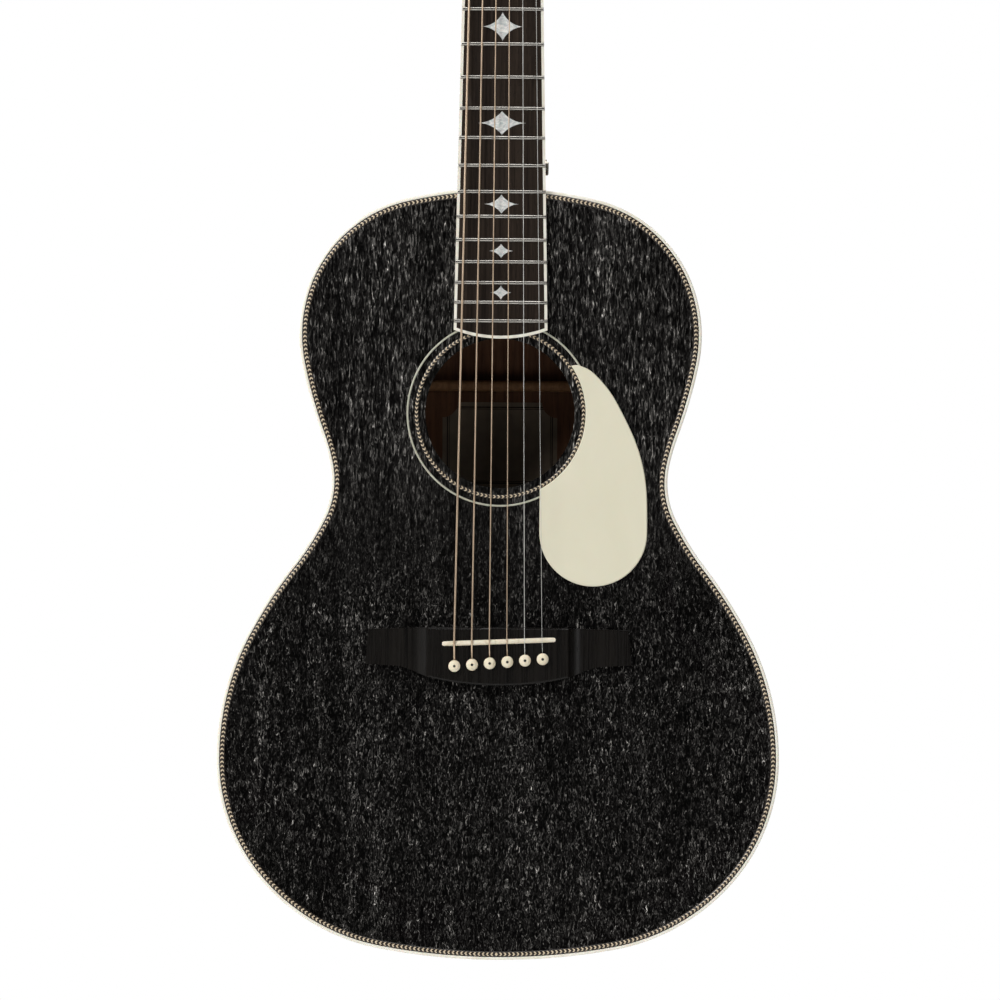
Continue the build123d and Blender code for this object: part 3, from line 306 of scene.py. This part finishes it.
label_low, label_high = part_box("label")
MATERIALS = {
    "mahogany_top": black_mahogany("mahogany_top", 0.0082, 0.012),
    "mahogany_side": black_mahogany("mahogany_side", 0.0045, 0.2),
    "inside_mahogany": bare_wood("inside_mahogany", (80, 52, 35), (114, 76, 52)),
    "inside_spruce": bare_wood("inside_spruce", (120, 86, 56), (146, 108, 74), 420, 10),
    "maple": bare_wood("maple", (182, 150, 108), (206, 178, 138)),
    "neck": black_satin("neck_black"),
    "veneer": black_satin("veneer_black", (17, 16, 15), 0.2),
    "rosewood": board_wood("rosewood", (20, 15, 12), (50, 41, 34)),
    "ebony": board_wood("ebony", (11, 10, 9), (22, 19, 16), 0.25, 0.2),
    "binding": smooth_plastic("binding_white", (238, 234, 222), (226, 220, 204), 0.25, 50),
    "guard": smooth_plastic("guard_cream", (221, 216, 194), (218, 213, 190), 0.24, 34),
    "bone": smooth_plastic("bone", (230, 222, 202), (212, 200, 174), 0.28, 260),
    "button": smooth_plastic("button_cream", (224, 212, 178), (196, 178, 136), 0.2, 210, 0.3),
    "pin": smooth_plastic("pin_cream", (232, 222, 198), (220, 208, 180), 0.24, 320),
    "dot": smooth_plastic("dot_black", (22, 20, 18), (14, 13, 12), 0.3, 300),
    "nickel": plated("nickel", (196, 190, 178)),
    "fret": plated("fret_nickel", (178, 174, 167), 0.21, 0.05),
    "brass": plated("brass", (196, 158, 92)),
    "steel": plated("rod_steel", (150, 148, 144), 0.36),
    "pearl": pearl(),
    "edge_herringbone": herringbone("edge_herringbone", 0.95, 0.16),
    "rose_herringbone": herringbone("rose_herringbone", 0.9, 0.07),
    "line": smooth_plastic("line_cream", (182, 181, 164), (166, 164, 146), 0.32, 200),
    "paper": label_paper_painted_shade(label_low, label_high),
    "bronze": wire("wound_bronze", (226, 200, 172), 700, 0.36),
    "plain": wire("plain_steel", (246, 245, 240), 300, 0.42),
}

NODE_MATERIALS = {
    "soundboard": "mahogany_top", "back_plate": "mahogany_side", "side_bass": "mahogany_side",
    "side_treble": "mahogany_side", "back_binding": "binding", "fretboard_binding": "binding",
    "heel_cap": "binding", "pickguard": "guard", "bridge": "ebony", "saddle": "bone", "nut": "bone",
    "bridge_plate": "maple", "linings": "inside_mahogany", "end_blocks": "inside_mahogany",
    "top_braces": "inside_spruce", "back_braces": "inside_spruce", "neck": "neck",
    "headstock_veneer": "veneer", "fretboard": "rosewood", "frets": "fret",
    "position_markers": "pearl", "label": "paper", "truss_rod": "steel", "truss_rod_nut": "brass",
    "truss_rod_cover": "ebony", "tuner_plates": "nickel", "tuner_bushings": "nickel",
    "tuner_screws": "nickel", "strap_button": "nickel", "wood_screws": "nickel",
    "string_ball_ends": "brass", "plain_strings": "plain", "wound_strings": "bronze",
    "top_binding": "binding", "top_purfling": "edge_herringbone", "rosette": "line",
}
for number in range(1, 7):
    NODE_MATERIALS[f"bridge_pin_{number}"] = "pin"
    NODE_MATERIALS[f"tuner_shaft_{number}"] = "nickel"
    NODE_MATERIALS[f"tuner_post_{number}"] = "nickel"
    NODE_MATERIALS[f"tuner_button_{number}"] = "button"

for name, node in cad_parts.items():
    node.data.materials.clear()
    node.data.materials.append(MATERIALS[NODE_MATERIALS[name]])


def second_material(name, material, chosen):
    """Give the faces that a test picks another material."""
    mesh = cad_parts[name].data
    mesh.materials.append(MATERIALS[material])
    for face in mesh.polygons:
        if chosen(face):
            face.material_index = 1


top_low, top_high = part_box("soundboard")
BODY_MIDDLE = (top_low.z + top_high.z) / 2
SIDE_DOT_DEPTH = 4.5 * MM               # the side dots lie nearer to the soundboard than this
PIN_DOT_RADIUS = 0.83 * MM
PIN_DOT_DEPTH = 0.8 * MM
LOWER_CENTRE, UPPER_CENTRE = 0.15, 0.40     # heights at the middle of the two bouts


def faces_cavity(face):
    """True on the inner wall of a bent side."""
    nearest_middle = Vector((0, 0, min(max(face.center.z, LOWER_CENTRE), UPPER_CENTRE)))
    outward = face.center - nearest_middle
    return abs(face.normal.y) < 0.5 and face.normal.dot(Vector((outward.x, 0, outward.z))) < 0


second_material("back_plate", "inside_mahogany", lambda face: face.normal.y < -0.5)
second_material("soundboard", "inside_mahogany", lambda face: face.normal.y > 0.5)
second_material("side_bass", "inside_mahogany", faces_cavity)
second_material("side_treble", "inside_mahogany", faces_cavity)
second_material("position_markers", "dot", lambda face: face.center.y > top_low.y - SIDE_DOT_DEPTH)
for number in range(1, 7):
    pin_low, pin_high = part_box(f"bridge_pin_{number}")
    axis_x, axis_z = (pin_low.x + pin_high.x) / 2, (pin_low.z + pin_high.z) / 2
    front = pin_low.y + PIN_DOT_DEPTH
    second_material(
        f"bridge_pin_{number}", "dot",
        lambda face: (math.hypot(face.center.x - axis_x, face.center.z - axis_z) < PIN_DOT_RADIUS
                      and face.center.y < front))


# ---- Mesh helpers ---------------------------------------------------------------
def mesh_object(name, vertices, faces, material, smooth=True, uvs=None):
    """Make a mesh piece that rides on the guitar; uvs holds one pair for each face corner."""
    mesh = bpy.data.meshes.new(name)
    mesh.from_pydata([tuple(v) for v in vertices], [], [tuple(int(i) for i in f) for f in faces])
    if uvs is not None:
        layer = mesh.uv_layers.new(name="UVMap")
        layer.data.foreach_set("uv", np.asarray(uvs, np.float32).ravel())
    mesh.update()
    if smooth:
        mesh.polygons.foreach_set("use_smooth", [True] * len(mesh.polygons))
    mesh.materials.append(MATERIALS[material])
    piece = bpy.data.objects.new(name, mesh)
    bpy.context.scene.collection.objects.link(piece)
    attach(piece, ROOT)
    return piece


def swept(rows, closed_profile, u_values=None, caps=False):
    """Vertices, quads and uvs of a grid of rows, each row one profile along a path."""
    count, width = rows.shape[0], rows.shape[1]
    faces, uvs = [], []
    for i in range(count - 1):
        for j in range(width if closed_profile else width - 1):
            a, b = i * width + j, i * width + (j + 1) % width
            c, d = (i + 1) * width + (j + 1) % width, (i + 1) * width + j
            faces.append((a, b, c, d))
            if u_values is not None:
                low, high = j / (width - 1), (j + 1) / (width - 1)
                here, there = u_values[i], u_values[i + 1]
                uvs += [(here, low), (here, high), (there, high), (there, low)]
    if caps:
        faces.append(tuple(range(width)))
        faces.append(tuple((count - 1) * width + j for j in reversed(range(width))))
    return rows.reshape(-1, 3), faces, uvs or None


# ---- Body edge --------------------------------------------------------------------
# Half outline of the body, inside the binding: radius in millimetres and turn in degrees of each
# tangent arc from the neck end round to the tail; a negative pair bends inward.
BODY_ARCS = (
    (259.0, 13.5), (85.0, 55.9), (90.0, 32.0), (302.0, 8.8), (-142.0, -8.1), (-55.0, -38.9),
    (-189.0, -11.0), (299.0, 9.1), (169.0, 29.2), (116.0, 41.5), (130.0, 37.6),
)
EDGE_STEP = 1.2 * MM


def half_outline(tail):
    """Points and outward directions down the treble side, from the neck end to the given tail height."""
    points, normals = [], []
    x, z, heading = 0.0, 0.0, 0.0
    for radius, turn in BODY_ARCS + ((None, None),):
        nx, nz = -math.sin(heading), -math.cos(heading)
        reach = -x / nx if radius is None else radius * MM
        angle = math.pi - heading if radius is None else math.radians(turn)
        cx, cz = x + nx * reach, z + nz * reach
        steps = max(4, int(abs(reach * angle) / EDGE_STEP))
        for step in range(steps):
            at = heading + angle * step / steps
            points.append((cx + math.sin(at) * reach, cz + math.cos(at) * reach))
            normals.append((math.sin(at), math.cos(at)))
        heading += angle
        x, z = cx + math.sin(heading) * reach, cz + math.cos(heading) * reach
    points.append((0.0, z))
    normals.append((0.0, -1.0))
    return np.array(points) + (0.0, tail - z), np.array(normals)


def whole_outline(tail):
    """Closed outline: down the treble side and back up the bass side."""
    points, normals = half_outline(tail)
    flip = np.array([-1.0, 1.0])
    return (np.vstack([points, (points * flip)[-2:0:-1]]),
            np.vstack([normals, (normals * flip)[-2:0:-1]]))


def edge_rows(profile, points, normals):
    """A profile of (outward, depth) pairs carried round the outline."""
    rows = np.zeros((len(points), len(profile), 3))
    for j, (out, depth) in enumerate(profile):
        rows[:, j, 0] = points[:, 0] + normals[:, 0] * out
        rows[:, j, 1] = depth
        rows[:, j, 2] = points[:, 1] + normals[:, 1] * out
    return rows


def rounded_corner(cx, cy, radius, start, end, steps=6):
    """Points of an arc in a profile, angles in degrees from outward towards the front."""
    angles = np.radians(np.linspace(start, end, steps))
    return [(cx + radius * math.cos(a), cy - radius * math.sin(a)) for a in angles]


binding_low, binding_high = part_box("top_binding")
TAIL_LINE = binding_low.z + 2.0 * MM    # the outline's tail, inside the binding
FRONT = top_low.y
PURFLING_WIDTH = 3.4 * MM
PURFLING_DEPTH = 1.8 * MM
BINDING_WIDTH = 1.98 * MM
BINDING_ROUND = 1.1 * MM
BINDING_BEVEL = 0.2 * MM
BINDING_DEPTH = binding_high.y - FRONT
NECK_CLEAR = 9.6 * MM                   # half width of the gap left for the neck's dovetail
HERRING_PITCH = 2.75 * MM


def open_outline():
    """The outline without the stretch that the neck's dovetail fills."""
    points, normals = whole_outline(TAIL_LINE)
    keep = ~((np.abs(points[:, 0]) < NECK_CLEAR) & (points[:, 1] > BODY_MIDDLE))
    first = int(np.argmax(keep))
    order = np.arange(first, len(points) - first + 1)
    return points[order], normals[order]


def build_top_binding():
    """White binding with its outer front edge rounded over."""
    points, normals = open_outline()
    w, r = BINDING_WIDTH, BINDING_ROUND
    profile = [(0.0, FRONT + BINDING_DEPTH), (0.0, FRONT + BINDING_BEVEL), (BINDING_BEVEL, FRONT)]
    profile += rounded_corner(w - r, FRONT + r, r, 90, 0)
    profile += [(w, FRONT + BINDING_DEPTH)]
    vertices, faces, _ = swept(edge_rows(profile, points, normals), True, caps=True)
    piece = mesh_object("top_binding_edge", vertices, faces, "binding", smooth=False)
    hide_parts("top_binding")
    return piece


def build_purfling():
    """Herringbone strip let into the edge of the soundboard."""
    points, normals = open_outline()
    steps = np.linalg.norm(np.diff(points, axis=0), axis=1)
    run = np.concatenate([[0.0], np.cumsum(steps)])
    u = -np.minimum(run, run[-1] - run) / HERRING_PITCH
    profile = [(0.0, FRONT), (-PURFLING_WIDTH, FRONT)]
    vertices, faces, uvs = swept(edge_rows(profile, points, normals), False, u_values=u)
    piece = mesh_object("edge_herringbone", vertices, faces, "edge_herringbone", uvs=uvs)
    thicken(piece, PURFLING_DEPTH)
    return piece


def thicken(piece, depth):
    """Give a flat inlay its depth, back into the soundboard."""
    solid = piece.modifiers.new("depth", "SOLIDIFY")
    solid.thickness = depth
    solid.offset = -1.0 if piece.data.polygons[0].normal.y < 0 else 1.0


def build_ring(name, inner, outer, material, slips=1):
    """Flat inlaid ring round the soundhole, with a count of slips round it."""
    angles = np.linspace(0, 2 * math.pi, RING_SIDES + 1)
    rows = np.zeros((RING_SIDES + 1, 2, 3))
    for j, radius in enumerate((outer, inner)):
        rows[:, j, 0] = HOLE_X + radius * np.cos(angles)
        rows[:, j, 1] = FRONT
        rows[:, j, 2] = HOLE_Z + radius * np.sin(angles)
    u = angles / (2 * math.pi) * slips
    vertices, faces, uvs = swept(rows, False, u_values=u)
    piece = mesh_object(name, vertices, faces, material, uvs=uvs)
    thicken(piece, RING_DEPTH)
    return piece


rosette_low, rosette_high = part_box("rosette")
HOLE_X = (rosette_low.x + rosette_high.x) / 2
HOLE_Z = (rosette_low.z + rosette_high.z) / 2
RING_OUTER = (rosette_high.x - rosette_low.x) / 2
ROSE_INNER, ROSE_OUTER = RING_OUTER - 7.5 * MM, RING_OUTER - 5.1 * MM
LINE_WIDTH = 1.2 * MM
RING_DEPTH = 1.2 * MM
RING_SIDES = 360
ROSE_PITCH = 2.7 * MM
build_top_binding()
purfling = build_purfling()
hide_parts("top_purfling")
rose = build_ring("rosette_herringbone", ROSE_INNER, ROSE_OUTER, "rose_herringbone",
                  round(math.pi * (ROSE_INNER + ROSE_OUTER) / ROSE_PITCH))
build_ring("rosette_line", RING_OUTER - LINE_WIDTH, RING_OUTER, "line")
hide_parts("rosette")


# ---- Strings -----------------------------------------------------------------------
STRING_RADII = (0.15, 0.205, 0.305, 0.405, 0.535, 0.675)    # millimetres, first string to sixth
WINDING_PITCHES = {3: 0.55, 4: 0.65, 5: 0.78, 6: 0.9}
WINDING_RELIEF = 0.035
WINDING_LIFT = 0.004                    # the wrap's lowest point lies this far outside the string
TURN_STEPS = 4                          # rows of vertices along one turn of the winding
SECTION_SIDES = 9
NUT_SPREAD = 17.5
SADDLE_FIRST, SADDLE_PITCH, SADDLE_SLANT = 27.6, 11.12, math.radians(2.4)
CAMBER = 406.4
WINDING_END = 4.0                       # the relief stops this far from the saddle and the nut
SADDLE_GAP = 0.03                       # between the crown of the saddle and a string
NUT_CROWN = 7.5                         # height of the strings' undersides at the nut
NUT_INSET = 1.2                         # where a string leaves the nut, from its front edge


def string_run(number):
    """Axis of a string's open length, from its saddle point to its nut point, in millimetres."""
    radius = STRING_RADII[number - 1]
    saddle_low, saddle_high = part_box("saddle")
    nut_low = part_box("nut")[0]
    saddle_x = SADDLE_FIRST - SADDLE_PITCH * (number - 1)
    nut_x = NUT_SPREAD - NUT_SPREAD * 2 / 5 * (number - 1)
    middle_z = (saddle_low.z + saddle_high.z) / 2 / MM
    start = Vector((saddle_x, saddle_low.y / MM + saddle_x ** 2 / (2 * CAMBER) - radius - SADDLE_GAP,
                    middle_z + saddle_x * math.tan(SADDLE_SLANT)))
    crown = FRONT / MM - NUT_CROWN
    end = Vector((nut_x, crown + nut_x ** 2 / (2 * CAMBER) - radius, nut_low.z / MM + NUT_INSET))
    return start, end


def build_winding(number):
    """The wrap wire of a wound string: a fine spiral ridge over its open length."""
    start, end = string_run(number)
    along = (end - start).normalized()
    across = along.cross(Vector((0, 1, 0))).normalized()
    up = across.cross(along)
    length = (end - start).length - 2 * WINDING_END
    turns = int(length / WINDING_PITCHES[number])
    count = turns * TURN_STEPS + 1
    travel = np.linspace(0, length, count) + WINDING_END
    phase = np.arange(count)[:, None] * 2 * math.pi / TURN_STEPS
    angles = np.linspace(0, 2 * math.pi, SECTION_SIDES, endpoint=False)[None, :]
    ridge = WINDING_RELIEF * (0.5 + 0.5 * np.cos(phase - angles))
    radius = STRING_RADII[number - 1] + WINDING_LIFT + ridge
    rows = np.array(start)[None, None, :] + travel[:, None, None] * np.array(along)[None, None, :]
    rows = rows + (radius * np.cos(angles))[:, :, None] * np.array(across)
    rows = rows + (radius * np.sin(angles))[:, :, None] * np.array(up)
    vertices, faces, _ = swept(rows * MM, True, caps=True)
    mesh_object(f"winding_{number}", vertices, faces, "bronze")


for number in WINDING_PITCHES:
    build_winding(number)


# ---- Stage -------------------------------------------------------------------------
AMBIENT = 0.6
AMBIENT_SIDE = -0.5                     # change of ambient light towards the treble side
AMBIENT_REAR = 0.5                      # and towards the back
AMBIENT_LEAST = 0.07
SENSOR_WIDTH = 36.0                     # millimetres
CAMERA_DISTANCE = 3.175                 # from the lens to the soundboard
CAMERA_WIDTH = 0.6353                   # width of the view at the soundboard
CAMERA_LENS = SENSOR_WIDTH * CAMERA_DISTANCE / CAMERA_WIDTH
CAMERA_PLACE = Vector((0.0004, FRONT - CAMERA_DISTANCE, 0.2924))
CAMERA_ROLL = 0.4                       # degrees
FLOOR_RADIUS = 1.9
FLOOR_GAP = 0.25                        # between the floor and the guitar's lower end
MIDDLE = (0.0, 0.0, 0.35)               # the point that most lights aim at


def area_light(name, place, target, size, power):
    """Soft round light aimed at a point."""
    light = bpy.data.lights.new(name, "AREA")
    light.shape = "DISK"
    light.size = size
    light.energy = power
    lamp = bpy.data.objects.new(name, light)
    bpy.context.scene.collection.objects.link(lamp)
    lamp.location = place
    lamp.rotation_euler = (Vector(target) - Vector(place)).to_track_quat("-Z", "Y").to_euler()


def build_world():
    """Soft ambient light, bright on the bass side and dim in front, seen by the camera as plain white."""
    world = bpy.data.worlds.new("studio")
    bpy.context.scene.world = world
    world.use_nodes = True
    tree = world.node_tree
    tree.nodes.clear()
    output = tree.nodes.new("ShaderNodeOutputWorld")
    seen = tree.nodes.new("ShaderNodeBackground")
    lit = tree.nodes.new("ShaderNodeBackground")
    seen.inputs["Color"].default_value = (1, 1, 1, 1)
    seen.inputs["Strength"].default_value = 1.0
    place = tree.nodes.new("ShaderNodeTexCoord")
    axes = tree.nodes.new("ShaderNodeSeparateXYZ")
    tree.links.new(place.outputs["Generated"], axes.inputs[0])
    strength = AMBIENT
    for axis, amount in (("X", AMBIENT_SIDE), ("Y", AMBIENT_REAR)):
        step = tree.nodes.new("ShaderNodeMath")
        step.operation = "MULTIPLY_ADD"
        tree.links.new(axes.outputs[axis], step.inputs[0])
        step.inputs[1].default_value = amount
        if isinstance(strength, float):
            step.inputs[2].default_value = strength
        else:
            tree.links.new(strength, step.inputs[2])
        strength = step.outputs[0]
    floor = tree.nodes.new("ShaderNodeMath")
    floor.operation = "MAXIMUM"
    floor.inputs[1].default_value = AMBIENT_LEAST
    tree.links.new(strength, floor.inputs[0])
    tree.links.new(floor.outputs[0], lit.inputs["Strength"])
    paths = tree.nodes.new("ShaderNodeLightPath")
    mix = tree.nodes.new("ShaderNodeMixShader")
    tree.links.new(paths.outputs["Is Camera Ray"], mix.inputs[0])
    tree.links.new(lit.outputs[0], mix.inputs[1])
    tree.links.new(seen.outputs[0], mix.inputs[2])
    tree.links.new(mix.outputs[0], output.inputs[0])


def build_floor(height):
    """Pale round floor under the hanging guitar."""
    mesh = bpy.data.meshes.new("floor")
    edit = bmesh.new()
    bmesh.ops.create_circle(edit, cap_ends=True, radius=FLOOR_RADIUS, segments=96)
    edit.to_mesh(mesh)
    edit.free()
    floor = bpy.data.objects.new("floor", mesh)
    floor.location = (0, 0, height)
    bpy.context.scene.collection.objects.link(floor)
    g = Graph("floor_pale", rough=0.6, specular=0.2)
    g.finish(g.mix(g.span(g.noise((3, 3, 3), 2.0), 0.3, 0.7), (0.80, 0.80, 0.79), (0.84, 0.84, 0.83)))
    mesh.materials.append(g.material)


def build_camera():
    """Long lens straight in front of the body, as the picture was taken."""
    data = bpy.data.cameras.new("camera")
    data.sensor_width = SENSOR_WIDTH
    data.lens = CAMERA_LENS
    camera = bpy.data.objects.new("camera", data)
    bpy.context.scene.collection.objects.link(camera)
    aim = Matrix.Rotation(math.radians(90), 4, "X") @ Matrix.Rotation(math.radians(CAMERA_ROLL), 4, "Z")
    camera.matrix_world = Matrix.Translation(CAMERA_PLACE) @ aim
    data.clip_start = 0.1
    data.clip_end = 50
    bpy.context.scene.camera = camera


scene = bpy.context.scene
scene.view_settings.view_transform = "Standard"
scene.view_settings.look = "None"
build_world()
build_floor(cad_bounds[0].z - FLOOR_GAP)
build_camera()
area_light("key", (-1.9, -2.1, 1.9), MIDDLE, 1.1, 68)
area_light("fill", (2.2, -2.4, 0.7), MIDDLE, 1.8, 16)
area_light("top", (0.2, -0.3, 2.8), (0, 0, 0.5), 1.4, 22)
area_light("rear", (1.3, 2.4, 1.7), MIDDLE, 1.3, 38)
area_light("rear_low", (-1.8, 2.0, 0.5), MIDDLE, 1.5, 18)
